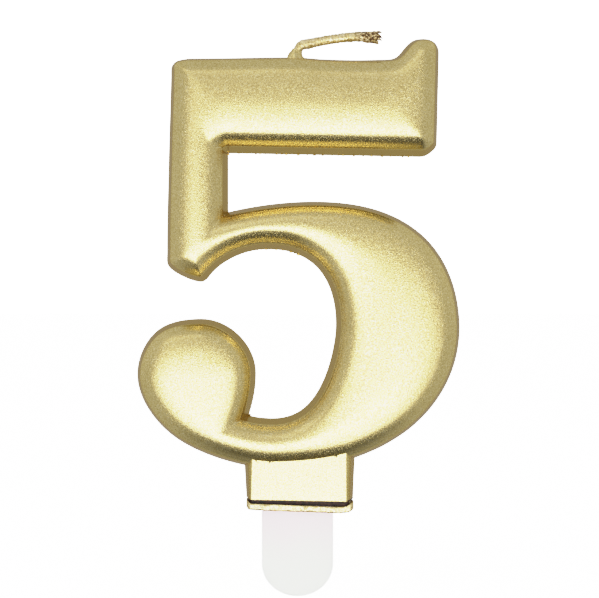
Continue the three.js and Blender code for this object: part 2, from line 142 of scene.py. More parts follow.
STROKES = {
    "arm": [at(-23.95, 72.2), at(-21.4, 69.06), at(-19.2, 67.35), at(-17.45, 66.2), at(-15.94, 66.0), at(-14.43, 66.7), at(-13.03, 67.68)] + ARM_END + SERIF + [at(*v) for v in ((12.5, 85.27), (9.9, 85.27), (7.0, 85.33), (4.2, 85.46), (1.6, 85.68), (0.3, 85.79), (-0.9, 85.80), (-3.5, 85.78), (-8.5, 85.71), (-14.0, 85.62), (-17.5, 85.57))] + TOP_LEFT,
    "stem": [at(-13.06, 48.2), at(-13.06, 85.60)] + TOP_LEFT + LEFT + SPUR + [at(-14.9, 46.9)],
    "bowl": [at(-24.45, 53.97)] + SPUR + COUNTER + [at(-13.5, 19.4), at(-20.0, 22.3)] + BALL_LEFT[6:] + BOTTOM + BOWL + [at(-13.06, 56.6)],
    "ball": [at(-13.1, 10.0), at(-11.98, 11.7), at(-10.28, 15.1)] + BALL_TOP + BALL_LEFT + BOTTOM[1:15],
}


def closed(points):
    a = np.array(points, float)
    keep = np.linalg.norm(a - np.roll(a, -1, axis=0), axis=1) > 1e-5
    return a[keep]


STROKES = {k: closed(v) for k, v in STROKES.items()}


def inside(outline, p, chunk=6000, direction=False):
    """Signed distance from points p to a closed outline, positive inside, and the direction in which it grows."""
    a, b = np.roll(outline, 1, axis=0), outline
    e = b - a
    ee = (e * e).sum(1)
    out, grow = np.empty(len(p)), np.zeros((len(p), 2))
    for s in range(0, len(p), chunk):
        q = p[s : s + chunk]
        w = q[:, None, :] - a[None]
        t = np.clip((w * e).sum(2) / ee, 0, 1)
        d = w - t[..., None] * e
        dd = (d * d).sum(2)
        near = dd.argmin(1)
        best = np.sqrt(dd[np.arange(len(q)), near])
        y = q[:, 1][:, None]
        cross = ((a[:, 1] > y) != (b[:, 1] > y)) & (q[:, 0][:, None] < (b[:, 0] - a[:, 0]) * (y - a[:, 1]) / np.where(b[:, 1] == a[:, 1], 1e-12, b[:, 1] - a[:, 1]) + a[:, 0])
        sign = np.where(cross.sum(1) % 2 == 1, 1.0, -1.0)
        out[s : s + chunk] = sign * best
        if direction:
            v = d[np.arange(len(q)), near]
            n = np.stack([-e[near][:, 1], e[near][:, 0]], axis=1) / np.sqrt(ee[near])[:, None]
            far = best > 1e-3
            v[far] = v[far] / best[far][:, None] * sign[far][:, None]
            # on the outline itself the edge's normal stands in, turned inwards
            v[~far] = n[~far] * turn(outline)
            grow[s : s + chunk] = v
    return (out, grow) if direction else out


def turn(outline):
    x, y = outline[:, 0], outline[:, 1]
    return 1.0 if np.sum(x * np.roll(y, -1) - np.roll(x, -1) * y) > 0 else -1.0


# The field is sampled once on a fine grid and read back by bicubic interpolation, which is quick and smooth.
GRID = 0.18
X0, Z0 = -31.8, 6.0
NX, NZ = int((32.2 - X0) / GRID) + 1, int((90.2 - Z0) / GRID) + 1
gx, gz = X0 + GRID * np.arange(NX), Z0 + GRID * np.arange(NZ)
GP = np.stack(np.meshgrid(gx, gz), axis=-1).reshape(-1, 2)


def sample_stroke(outline):
    lo, hi = outline.min(0) - 1.0, outline.max(0) + 1.0
    near = ((GP > lo) & (GP < hi)).all(1)
    out = np.full(len(GP), -9.0)
    out[near] = inside(outline, GP[near])
    return out.reshape(NZ, NX)


FIELDS = {k: sample_stroke(v) for k, v in STROKES.items()}


def smooth_max(arrays, width):
    """A maximum whose crease is rounded over about that width."""
    out = arrays[0]
    for b in arrays[1:]:
        h = np.clip(0.5 + 0.5 * (b - out) / width, 0, 1)
        blended = out * (1 - h) + b * h + width * h * (1 - h) * 0.5
        out = blended
    return out


DEPTH = np.max(np.stack(list(FIELDS.values())), axis=0)

pd, pz, ps = (np.array(c) for c in zip(*PROFILE))


def height(d):
    """Height above the flat back at a distance in from the outline."""
    d = np.clip(d, 0, 11.99)
    i = np.clip(np.searchsorted(pd, d, side="right") - 1, 0, len(pd) - 2)
    w = pd[i + 1] - pd[i]
    t = (d - pd[i]) / w
    return (2 * t**3 - 3 * t**2 + 1) * pz[i] + (t**3 - 2 * t**2 + t) * w * ps[i] + (-2 * t**3 + 3 * t**2) * pz[i + 1] + (t**3 - t**2) * w * ps[i + 1]


def blur(a, sigma_mm):
    s = sigma_mm / GRID
    n = int(3 * s) + 1
    k = np.exp(-0.5 * (np.arange(-n, n + 1) / s) ** 2)
    k /= k.sum()
    a = np.apply_along_axis(lambda r: np.convolve(np.pad(r, n, mode="edge"), k, mode="valid"), 1, a)
    return np.apply_along_axis(lambda r: np.convolve(np.pad(r, n, mode="edge"), k, mode="valid"), 0, a)


# The face beyond the shoulder is softened, as poured wax under lacquer is: a little where the slope still
# changes quickly, more on the crests in the middle of the strokes.
TOP = np.maximum.reduce([height(f) for f in FIELDS.values()])
soft_a, soft_b = blur(TOP, 0.22), blur(TOP, 0.75)
wa = np.clip((DEPTH - 1.1) / 0.9, 0, 1)
wb = np.clip((DEPTH - 3.0) / 2.2, 0, 1)
wa, wb = wa * wa * (3 - 2 * wa), wb * wb * (3 - 2 * wb)
TOP = TOP * (1 - wa) + soft_a * wa
TOP = TOP * (1 - wb) + soft_b * wb


def read(field, p):
    """Catmull-Rom interpolation of a grid field at points p."""
    u, v = (p[:, 0] - X0) / GRID, (p[:, 1] - Z0) / GRID
    i, j = np.clip(np.floor(u).astype(int), 1, NX - 3), np.clip(np.floor(v).astype(int), 1, NZ - 3)
    u, v = u - i, v - j

    def weights(t):
        return np.stack([-0.5 * t + t * t - 0.5 * t**3, 1 - 2.5 * t * t + 1.5 * t**3, 0.5 * t + 2 * t * t - 1.5 * t**3, -0.5 * t * t + 0.5 * t**3])

    wu, wv = weights(u), weights(v)
    out = np.zeros(len(p))
    for b in range(4):
        row = sum(wu[a] * field[j + b - 1, i + a - 1] for a in range(4))
        out += wv[b] * row
    return out


def surface_height(p):
    """Exact on the wall, where the slope is steep, and the softened grid further in."""
    d = np.maximum.reduce([inside(o, p) for o in STROKES.values()])
    t = np.clip((d - 1.2) / 0.6, 0, 1)
    t = t * t * (3 - 2 * t)
    return height(d) * (1 - t) + read(TOP, p) * t, d


# ------------------------------------------------------------------ contours of the field, as closed rings of points
def contours(field, level):
    above = field >= level
    pts, nxt = {}, {}

    def cross(i, j, k):
        key = (j * NX + i) * 2 + k
        if key not in pts:
            a = field[j, i]
            b = field[j + (k == 1), i + (k == 0)]
            t = (level - a) / (b - a)
            pts[key] = (X0 + (i + (t if k == 0 else 0)) * GRID, Z0 + (j + (t if k == 1 else 0)) * GRID)
        return key

    code = above[:-1, :-1] * 1 + above[:-1, 1:] * 2 + above[1:, 1:] * 4 + above[1:, :-1] * 8
    for j, i in zip(*np.nonzero((code > 0) & (code < 15))):
        i, j, c = int(i), int(j), int(code[j, i])
        s, e, n, w = (i, j, 0), (i + 1, j, 1), (i, j + 1, 0), (i, j, 1)
        table = {1: [(s, w)], 2: [(e, s)], 3: [(e, w)], 4: [(n, e)], 6: [(n, s)], 7: [(n, w)], 8: [(w, n)], 9: [(s, n)], 11: [(e, n)], 12: [(w, e)], 13: [(s, e)], 14: [(w, s)], 5: [(s, w), (n, e)], 10: [(e, s), (w, n)]}
        for a, b in table[c]:
            nxt[cross(*a)] = cross(*b)
    rings = []
    while nxt:
        first = next(iter(nxt))
        ring, k = [], first
        while k in nxt:
            ring.append(pts[k])
            k = nxt.pop(k)
        ring = np.array(ring)
        area = 0.5 * np.sum(ring[:, 0] * np.roll(ring[:, 1], -1) - ring[:, 1] * np.roll(ring[:, 0], -1))
        if abs(area) > 0.4:
            rings.append(ring)
    return rings


def resample(ring, step):
    """Even steps along a closed ring."""
    closed_ring = np.vstack([ring, ring[:1]])
    s = np.r_[0, np.cumsum(np.linalg.norm(np.diff(closed_ring, axis=0), axis=1))]
    n = max(8, int(round(s[-1] / step)))
    u = np.linspace(0, s[-1], n, endpoint=False)
    return np.c_[np.interp(u, s, closed_ring[:, 0]), np.interp(u, s, closed_ring[:, 1])]


LEVELS = [0.0, 0.06, 0.30, 0.58, 0.85, 0.95, 1.05, 1.18, 1.35, 1.55]
STEP = 0.34
SHARP = np.array([at(-13.03, 67.68), at(-13.06, 56.6), at(-9.198, 18.274)])  # inside corners of the outline
points, edges, ring_of = [], [], []
for li, level in enumerate(LEVELS):
    for ring in contours(DEPTH, max(level, 0.001)):
        pts = resample(ring, STEP)
        if li == 0:
            for c in SHARP:
                k = int(np.argmin(np.linalg.norm(pts - c, axis=1)))
                pts[k] = c
        start = len(points)
        points.extend(map(tuple, pts))
        ring_of.extend([li] * len(pts))
        edges.extend((start + i, start + (i + 1) % len(pts)) for i in range(len(pts)))
# even triangular grid over the face
hx = 0.46
lattice = []
for r, z in enumerate(np.arange(7.6, 88.9, hx * 0.866)):
    for x in np.arange(-30.6 + (r % 2) * hx / 2, 31.0, hx):
        lattice.append((x, z))
lattice = np.array(lattice)
lattice = lattice[read(DEPTH, lattice) > LEVELS[-1] + 0.22]
points.extend(map(tuple, lattice))
ring_of.extend([99] * len(lattice))
verts2, _, faces2, orig, _, _ = delaunay_2d_cdt([Vector(p) for p in points], edges, [], 0, 1e-7)
V2 = np.array([tuple(v) for v in verts2])
rings2 = np.array([min([ring_of[k] for k in o] or [99]) for o in orig])
F2 = np.array([list(f) for f in faces2])
mid = V2[F2].mean(1)
tri_d = np.maximum.reduce([inside(o, mid) for o in STROKES.values()])
F2 = F2[tri_d > 0.002]
a, b, c = V2[F2[:, 0]], V2[F2[:, 1]], V2[F2[:, 2]]
area2 = (b[:, 0] - a[:, 0]) * (c[:, 1] - a[:, 1]) - (b[:, 1] - a[:, 1]) * (c[:, 0] - a[:, 0])
F2[area2 < 0] = F2[area2 < 0][:, ::-1]
H2, D2 = surface_height(V2)
H2[rings2 == 0] = 0.0
print("figure:", len(V2), "vertices", len(F2), "triangles")


def new_object(name, verts, faces, smooth=True):
    mesh = bpy.data.meshes.new(name)
    mesh.from_pydata([tuple(v) for v in verts], [], [tuple(f) for f in faces])
    mesh.validate()
    if smooth:
        mesh.polygons.foreach_set("use_smooth", [True] * len(mesh.polygons))
    obj = bpy.data.objects.new(name, mesh)
    bpy.context.scene.collection.objects.link(obj)
    return obj


# front surface and its flat back, closed along the rear outline
front = np.c_[V2[:, 0], BACK_Y - H2, V2[:, 1]] * MM
rim = rings2 == 0
rim_ids = np.nonzero(rim)[0]
# the back shares the rim's vertices and has its own triangles
edge_count = {}
for f in F2:
    for k in range(3):
        e = (f[k], f[(k + 1) % 3])
        edge_count[e] = edge_count.get(e, 0) + 1
border = {a: b for (a, b) in edge_count if (b, a) not in edge_count}
start = next(iter(border))
loop, k = [], start
while True:
    loop.append(k)
    k = border[k]
    if k == start:
        break
print("rim", len(loop), "of", len(border))
back_v, _, back_f, back_o, _, _ = delaunay_2d_cdt([Vector(V2[i]) for i in loop], [(i, (i + 1) % len(loop)) for i in range(len(loop))], [], 1, 1e-7)
B2 = [[loop[back_o[i][0]] for i in f] for f in back_f]
fixed = []
for f in B2:
    p, q, r = V2[f[0]], V2[f[1]], V2[f[2]]
    if (q[0] - p[0]) * (r[1] - p[1]) - (q[1] - p[1]) * (r[0] - p[0]) > 0:
        f = f[::-1]
    fixed.append(f)
figure = new_object("numeral_skin", front, [tuple(f) for f in F2] + fixed)


# ------------------------------------------------------------------ helpers for closed shapes, in millimetres
def remove(*objs):
    for o in objs:
        me = o.data
        bpy.data.objects.remove(o)
        bpy.data.meshes.remove(me)


def boolean(target, tool, operation):
    m = target.modifiers.new("b", "BOOLEAN")
    m.operation, m.object, m.solver = operation, tool, "MANIFOLD"
    dg = bpy.context.evaluated_depsgraph_get()
    made = bpy.data.meshes.new_from_object(target.evaluated_get(dg))
    target.modifiers.clear()
    old = target.data
    made.name = target.name
    target.data = made
    bpy.data.meshes.remove(old)
    remove(tool)


def loft(name, rings):
    """A closed shape through rings of points, each a list of (x, y, z) going anticlockwise seen from beyond the last one."""
    n = len(rings[0])
    verts = [tuple(np.array(p) * MM) for r in rings for p in r]
    faces = []
    for i in range(len(rings) - 1):
        for k in range(n):
            a, b = i * n + k, i * n + (k + 1) % n
            faces.append((a, b, b + n, a + n))
    faces.append(tuple(range(n))[::-1])
    faces.append(tuple(range((len(rings) - 1) * n, len(rings) * n)))
    obj = new_object(name, verts, faces)
    bm = bmesh.new()
    bm.from_mesh(obj.data)
    if bm.calc_volume(signed=True) < 0:
        bmesh.ops.reverse_faces(bm, faces=bm.faces[:])
        bm.to_mesh(obj.data)
    bm.free()
    return obj


def rounded_rect(x0, x1, y0, y1, r, n=6):
    pts = []
    for cx, cy, a0 in ((x1 - r, y0 + r, -90), (x1 - r, y1 - r, 0), (x0 + r, y1 - r, 90), (x0 + r, y0 + r, 180)):
        for k in range(n + 1):
            a = math.radians(a0 + 90 * k / n)
            pts.append((cx + r * math.cos(a), cy + r * math.sin(a)))
    return pts


def tube(name, path, sides, shape=None):
    """A closed tube along points (x, y, z, radius). shape(s, w) scales the radius at length s and angle w."""
    p = np.array(path, float)
    rings, s = [], 0.0
    side = np.array([0.0, 1.0, 0.0])
    for i in range(len(p)):
        a, b = p[max(0, i - 1)][:3], p[min(len(p) - 1, i + 1)][:3]
        t = (b - a) / np.linalg.norm(b - a)
        side = side - t * side.dot(t)
        side /= np.linalg.norm(side)
        up = np.cross(t, side)
        if i:
            s += np.linalg.norm((p[i] - p[i - 1])[:3])
        ring = []
        for k in range(sides):
            w = 2 * math.pi * (k + 0.5) / sides
            r = p[i][3] * (shape(s, w) if shape else 1.0)
            ring.append(tuple(p[i][:3] + side * r * math.cos(w) + up * r * math.sin(w)))
        rings.append(ring)
    return loft(name, rings)


def sweep(name, path, sides, shape=None):
    """The same for a path of (x, z, radius) in the plane y = 0."""
    return tube(name, [(q[0], 0.0, q[1], q[2]) for q in path], sides, shape)


def smooth_path(points, step):
    """Catmull-Rom through the points, resampled at even steps."""
    P = np.array(points, float)
    P = np.vstack([2 * P[0] - P[1], P, 2 * P[-1] - P[-2]])
    out = []
    for i in range(1, len(P) - 2):
        for t in np.linspace(0, 1, 24, endpoint=False):
            out.append(0.5 * ((2 * P[i]) + (-P[i - 1] + P[i + 1]) * t + (2 * P[i - 1] - 5 * P[i] + 4 * P[i + 1] - P[i + 2]) * t**2 + (-P[i - 1] + 3 * P[i] - 3 * P[i + 1] + P[i + 2]) * t**3))
    out.append(P[-2])
    out = np.array(out)
    s = np.r_[0, np.cumsum(np.linalg.norm(np.diff(out[:, :-1], axis=0), axis=1))]
    u = np.linspace(0, s[-1], max(3, int(s[-1] / step) + 1))
    return np.stack([np.interp(u, s, out[:, k]) for k in range(out.shape[1])], axis=1)


# ------------------------------------------------------------------ the foot, cast in one with the figure
FOOT_Z = (2.22, 1.82)  # lower edge of its face at its left and right sides
def foot_ring(z, drop=0.0, inset=0.0):
    """The foot's section: flat back, drafted sides, a rolled edge and a flat face. It is widest at the back."""
    t = (z - 2.0) / 8.0
    xl, xr = -9.62 - 0.44 * t + inset, 10.45 + 0.36 * t - inset  # rear outline
    fl, fr = -8.60 + 0.22 * t + inset, 9.03 - inset  # edges of the flat face
    face = -3.75 + inset
    left = [(xl, BACK_Y - inset), (xl + 0.30 * (fl - xl), 0.6), (xl + 0.52 * (fl - xl), -2.0)]
    roll = [(0.66, -2.75), (0.78, -3.22), (0.89, -3.56), (1.0, face)]
    left += [(xl + u * (fl - xl), y) for u, y in roll]
    right = [(xr, BACK_Y - inset), (xr - 0.30 * (xr - fr), 0.6), (xr - 0.52 * (xr - fr), -2.0)]
    right += [(xr - u * (xr - fr), y) for u, y in roll]
    ring = left + [(fl + (fr - fl) * k / 12, face) for k in range(1, 12)] + right[::-1]
    ring += [(xr + (xl - xr) * k / 6, BACK_Y - inset) for k in range(1, 6)]
    out = []
    for x, y in ring:
        skew = FOOT_Z[0] + (FOOT_Z[1] - FOOT_Z[0]) * (x + 9.8) / 20.2 - 2.165
        out.append((x, y, z + drop + skew * max(0.0, 1 - (z - 2.165) / 3.0)))
    return out


foot = loft("foot", [foot_ring(2.165, 0.0, 0.09), foot_ring(2.20, 0.0, 0.035), foot_ring(2.26, 0.0, 0.008)] + [foot_ring(z) for z in (2.45, 3.2, 4.2, 5.2, 6.4, 7.6, 8.8, 10.0, 11.6)])
neck = loft("neck", [[(x, y, z if z > 2 else 1.16 - 0.018 * x) for x, y in rounded_rect(-8.9, 9.6, -2.4, 2.6, 0.4)] for z in (1.5, 3.0)])
slot_tool = loft("slot_tool", [[(x, y, z) for x, y in rounded_rect(-6.9, 6.9, -1.05, 1.05, 0.1, 2)] for z in (-3.0, 10.8)])

# a collar of wax climbs the wick where it leaves the arm's top, a little lumpy and flared at its foot
CREASE = (0.5, 86.72)


def collar_shape(s, w):
    return 1.0 + 0.035 * math.sin(3 * w + 1.1) + 0.03 * math.sin(5 * w + 2.3 * s) + 0.02 * math.sin(9 * w - 3 * s)


collar_path = smooth_path([(-0.48, 82.6, 1.95), (-0.40, 84.2, 1.70), (-0.35, 84.8, 1.52), (-0.325, 85.10, 1.40), (-0.25, 85.42, 1.22), (-0.15, 85.80, 1.04), (-0.04, 86.12, 0.96)], 0.11)
collar = sweep("collar", collar_path, 48, collar_shape)
WICK_BORE = [(-0.94, 70.0, 0.93), (-0.94, 76.06, 0.93), (-0.84, 81.02, 0.93), (-0.46, 84.49, 0.93), (-0.10, 85.61, 0.92), (0.10, 86.6, 0.92)]
bore_tool = sweep("bore_tool", WICK_BORE, 24)

boolean(figure, foot, "UNION")
boolean(figure, neck, "UNION")
boolean(figure, collar, "UNION")
boolean(figure, slot_tool, "DIFFERENCE")
boolean(figure, bore_tool, "DIFFERENCE")


def slope(d):
    d = np.clip(d, 0, 11.99)
    i = np.clip(np.searchsorted(pd, d, side="right") - 1, 0, len(pd) - 2)
    w = pd[i + 1] - pd[i]
    t = (d - pd[i]) / w
    return ((6 * t * t - 6 * t) * pz[i] + (-6 * t * t + 6 * t) * pz[i + 1]) / w + (3 * t * t - 4 * t + 1) * ps[i] + (3 * t * t - 2 * t) * ps[i + 1]


def true_normals(p):
    """The front surface's normal over points p = (x, z), for smooth shading without the mesh's own facets."""
    ds, gs = zip(*(inside(o, p, direction=True) for o in STROKES.values()))
    ds, gs = np.stack(ds), np.stack(gs)
    pick = ds.argmax(0)
    d, g = ds[pick, np.arange(len(p))], gs[pick, np.arange(len(p))]
    wall = g * slope(d)[:, None]
    e = 0.12
    top = np.stack([(read(TOP, p + [e, 0]) - read(TOP, p - [e, 0])) / (2 * e), (read(TOP, p + [0, e]) - read(TOP, p - [0, e])) / (2 * e)], axis=1)
    t = np.clip((d - 1.2) / 0.6, 0, 1)
    t = (t * t * (3 - 2 * t))[:, None]
    grad = wall * (1 - t) + top * t
    n = np.stack([-grad[:, 0], -np.ones(len(p)), -grad[:, 1]], axis=1)
    return n / np.linalg.norm(n, axis=1)[:, None], d


def shade(obj, angle=32.0, analytic=False):
    """Smooth shading that stops at sharp edges, with the analytic normal wherever a corner lies on the figure's front."""
    me = obj.data
    me.polygons.foreach_set("use_smooth", [True] * len(me.polygons))
    me.set_sharp_from_angle(angle=math.radians(angle))
    if not analytic:
        return
    nl = len(me.loops)
    normals = np.empty(nl * 3)
    me.corner_normals.foreach_get("vector", normals)
    normals = normals.reshape(-1, 3)
    co = np.empty(len(me.vertices) * 3)
    me.vertices.foreach_get("co", co)
    co = co.reshape(-1, 3) / MM
    lv = np.empty(nl, dtype=np.int32)
    me.loops.foreach_get("vertex_index", lv)
    fn = np.empty(len(me.polygons) * 3)
    me.polygons.foreach_get("normal", fn)
    fn = fn.reshape(-1, 3)
    counts = np.empty(len(me.polygons), dtype=np.int32)
    me.polygons.foreach_get("loop_total", counts)
    face_of = np.repeat(np.arange(len(me.polygons)), counts)
    p = co[:, [0, 2]]
    h, d = surface_height(p)
    tn, _ = true_normals(p)
    on = (np.abs(BACK_Y - h - co[:, 1]) < 0.03) & (d > -0.01) & (d < 99)
    use = on[lv] & ((tn[lv] * fn[face_of]).sum(1) > 0.7)
    normals[use] = tn[lv][use]
    me.normals_split_custom_set([tuple(v) for v in normals])
    print("analytic corners", int(use.sum()), "of", nl)


# crumbs of lacquer left along the rear edge under the arm and at the top of the bowl's opening
def crumbs(places, seed):
    r_ = np.random.default_rng(seed)
    bm = bmesh.new()
    for x, z in places:
        size = r_.uniform(0.09, 0.19)
        made = bmesh.ops.create_icosphere(bm, subdivisions=2, radius=size)
        off = r_.uniform(0, 50)
        stretch = r_.uniform(0.8, 1.9)
        for v in made["verts"]:
            q = v.co * (1 + 0.45 * noise.noise(v.co * (1.3 / size) + Vector((off, 0, 0))))
            v.co = Vector((x + q.x * stretch, 3.36 + q.y, z + q.z)) * MM
    me = bpy.data.meshes.new("crumbs")
    bm.to_mesh(me)
    bm.free()
    obj = bpy.data.objects.new("crumbs", me)
    bpy.context.scene.collection.objects.link(obj)
    return obj


r_ = np.random.default_rng(11)
arm_x = np.cumsum(r_.uniform(0.75, 2.3, 24)) - 12.0
arm_x = arm_x[arm_x < 21.5]
under_arm = [(x, 67.68 + DATUM + (x + 13.0) / 35.9 * (66.981 - 67.68) + r_.uniform(-0.03, 0.05)) for x in arm_x]
inner = np.array(COUNTER)
top_run = inner[(inner[:, 1] > 47.6) & (inner[:, 0] > -9.0) & (inner[:, 0] < 3.6)]
span = np.r_[0, np.cumsum(np.linalg.norm(np.diff(top_run, axis=0), axis=1))]
bowl_s = np.cumsum(r_.uniform(0.7, 1.9, 14))
bowl_s = bowl_s[bowl_s < span[-1]]
in_bowl = [(np.interp(v, span, top_run[:, 0]), np.interp(v, span, top_run[:, 1]) + 0.03) for v in bowl_s]
NIBS = [(-13.12, 67.10), (-12.98, 66.86), (-13.10, 56.12), (-8.98, 17.70)]  # where the mould's inside corners left a bead
CRUMBS = under_arm + in_bowl + NIBS
boolean(figure, crumbs(CRUMBS, 23), "UNION")

shade(figure, analytic=True)
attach(figure, "candle")
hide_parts("numeral")


# ------------------------------------------------------------------ the strip of gold wax under the foot, on the pick
def lump(x, y, z, size, amount):
    return amount * noise.noise(Vector((x / size, y / size, z / size)))


STRIP_TOP = [(-9.50, 2.16), (-9.34, 2.15), (-9.14, 1.98), (-8.93, 1.74), (-8.45, 1.58), (7.9, 0.95), (8.6, 0.99), (9.2, 1.16), (9.7, 1.46), (10.0, 1.70), (10.2, 1.765), (10.45, 1.77)]
STRIP_BOTTOM = [(-9.50, 1.15), (-9.43, 0.86), (-9.25, 0.60), (-8.97, 0.41), (-8.45, 0.30), (7.52, -0.24), (8.7, -0.22), (9.57, -0.05), (10.0, 0.12), (10.32, 0.42), (10.45, 0.82)]
strip_x = [-9.49, -9.46, -9.38, -9.26, -9.12, -8.96] + list(np.arange(-8.78, 9.55, 0.16)) + [9.66, 9.82, 9.98, 10.14, 10.27, 10.36, 10.41, 10.43]


def strip_ring(x):
    zt = np.interp(x, *zip(*STRIP_TOP))
    zb = np.interp(x, *zip(*STRIP_BOTTOM))
    near = min(x - strip_x[0], strip_x[-1] - x)
    plan = 0.75 - math.sqrt(max(0.0, 0.75**2 - (0.75 - min(near, 0.75)) ** 2))
    yf, yb = -3.38 + plan, 3.45 - plan
    r = min(0.26, 0.42 * (zt - zb))
    corners = [(yf + r, zb + r, 180), (yb - r, zb + r, 270), (yb - r, zt - r, 0), (yf + r, zt - r, 90)]
    ring = []
    for k, (cy, cz, a0) in enumerate(corners):
        for j in range(5):
            a = math.radians(a0 + 90 * j / 4)
            ring.append((cy + r * math.cos(a), cz + r * math.sin(a)))
        ny, nz, na = corners[(k + 1) % 4]
        a = math.radians(na)
        q = (ny + r * math.cos(a), nz + r * math.sin(a))
        m = 26 if k in (0, 2) else 3
        for j in range(1, m):
            ring.append((ring[-1][0] + (q[0] - ring[-1][0]) / (m - j + 1), ring[-1][1] + (q[1] - ring[-1][1]) / (m - j + 1)))
    out = []
    inner = min(1.0, max(0.0, (near - 0.5) / 0.5))
    for y, z in ring:
        if z > 0.5 * (zt + zb):  # behind its front lip the top dips, clear of the candle's neck
            z -= inner * (0.46 + 0.012 * x) * min(1.0, max(0.0, (y - yf - 0.30) / 0.45)) * min(1.0, max(0.0, (yb - y) / 0.5))
        rough = min(1.0, near / 0.3)
        dz = lump(x, y, z, 0.9, 0.10) + lump(x + 7, y, z, 0.38, 0.06)
        low = 1.0 if z < 0.5 * (zt + zb) else 0.12
        dy = lump(x, y + 9, z, 1.1, 0.10) + lump(x, y + 5, z + 3, 0.42, 0.05)
        front = 1.0 if (y < yf + 0.7 or y > yb - 0.7) else 0.0
        out.append((x, y + dy * front * rough, z + dz * low * rough))
    return out


strip = loft("strip_skin", [strip_ring(x) for x in strip_x])
boolean(strip, loft("strip_slot", [[(x, y, z) for x, y in rounded_rect(-6.80, 6.80, -0.95, 0.95, 0.12, 3)] for z in (-2.0, 3.2)]), "DIFFERENCE")
shade(strip, 40.0)
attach(strip, "candle")
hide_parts("base_strip")

# ------------------------------------------------------------------ the clear white pick: a thin blade with a round end and eased edges
def pick_outline(e):
    w, top, cz, rx, rz = 6.65 - e, 10.3 - e, -9.75, 6.65 - e, 6.23 - e
    pts = [(w * (1 - 2 * k / 10), top) for k in range(11)][:-1]
    pts += [(-w, top + (cz - top) * k / 14) for k in range(14)]
    pts += [(-rx * math.cos(math.pi * k / 56), cz - rz * math.sin(math.pi * k / 56) ** 0.97) for k in range(56)]
    pts += [(w, cz + (top - cz) * k / 14) for k in range(14)]
    return pts


EASE = [(-0.80, 0.34), (-0.785, 0.20), (-0.73, 0.09), (-0.62, 0.02), (-0.45, 0.0), (0.0, 0.0), (0.45, 0.0), (0.62, 0.02), (0.73, 0.09), (0.785, 0.20), (0.80, 0.34)]
pick = loft("pick_skin", [[(x, y, z) for x, z in pick_outline(e)] for y, e in EASE])
shade(pick, 50.0)
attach(pick, "pick")
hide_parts("cake_pick")

# ------------------------------------------------------------------ the wick: a braided cotton cord dipped in wax and gold, bent over at the collar
WICK = smooth_path(
    [
        (-0.94, 70.8, 0.78), (-0.94, 74.0, 0.78), (-0.92, 77.6, 0.78), (-0.84, 81.02, 0.78), (-0.64, 83.4, 0.79), (-0.42, 84.6, 0.80), (-0.16, 85.55, 0.82),
        (0.10, 86.24, 0.86), (0.46, 86.78, 0.92), (1.05, 87.12, 0.97), (1.97, 87.28, 0.98), (3.05, 87.53, 0.94), (4.22, 87.75, 0.91), (6.27, 88.10, 0.90),
        (8.52, 88.42, 0.92), (10.2, 88.57, 0.95), (11.2, 88.60, 0.97), (12.0, 88.60, 0.95), (13.0, 88.56, 0.88), (14.0, 88.52, 0.80), (14.8, 88.49, 0.62),
    ],
    0.13,
)


def braid(s, w):
    """Three plies crossing: a diamond pattern of low ridges, blurred by the wax, with a few dents."""
    lay = 2 * math.pi * s / 1.9
    ridges = abs(math.sin(1.5 * (w + lay))) * 0.6 + abs(math.sin(1.5 * (w - lay) + 0.7)) * 0.4
    x, y = math.cos(w), math.sin(w)
    dents = noise.noise(Vector((x * 1.1, y * 1.1, s * 1.25))) * 0.10 + noise.noise(Vector((x * 2.6, y * 2.6, s * 3.1 + 8))) * 0.05
    return 0.955 + 0.085 * (ridges - 0.5) + dents


wick = sweep("wick_skin", WICK, 44, braid)
# the free end has opened: its plies and loose fibres stand apart, each a small tube merged with the cord
rng = np.random.default_rng(77)
for k in range(15):
    start_s, length = 10.6 + rng.uniform(-0.2, 1.5), 0
    w0 = 2 * math.pi * k / 15 + rng.uniform(-0.2, 0.2)
    turn_rate = (0.85 if k % 2 else -0.85) * rng.uniform(0.7, 1.2)
    end_x = 15.62 + rng.uniform(-0.7, 0.35)
    r0 = rng.uniform(0.19, 0.27)
    pts = []
    n = 13
    for i in range(n):
        t = i / (n - 1)
        x = start_s + (end_x - start_s) * t
        zc = np.interp(x, [10.2, 12.0, 14.0, 15.6], [88.49, 88.58, 88.52, 88.44])
        rad = 0.74 + 0.34 * t**1.2 + 0.06 * math.sin(6 * t + k)
        a = w0 + turn_rate * (x - start_s)
        taper = math.sqrt(max(0.02, min(1.0, (1 - t) * 7))) * (0.55 + 0.45 * min(1.0, t * 5))
        pts.append((x, rad * math.cos(a), zc + rad * math.sin(a), r0 * taper))
    boolean(wick, tube("ply", smooth_path(pts, 0.16), 9), "UNION")
for k in range(7):  # the plies' inner ends, which close the middle of the opened tip
    a = 2 * math.pi * k / 7 + 0.4
    rad = 0.0 if k == 6 else 0.38
    pts = [(x, rad * math.cos(a + 0.5 * x), 88.5 + rad * math.sin(a + 0.5 * x), r) for x, r in ((13.0, 0.24), (14.2, 0.25), (15.0, 0.22), (15.35 + 0.05 * k, 0.10))]
    boolean(wick, tube("ply", smooth_path(pts, 0.16), 9), "UNION")
shade(wick, 60.0)
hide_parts("wick_root", "wick_tail")
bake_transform(wick)


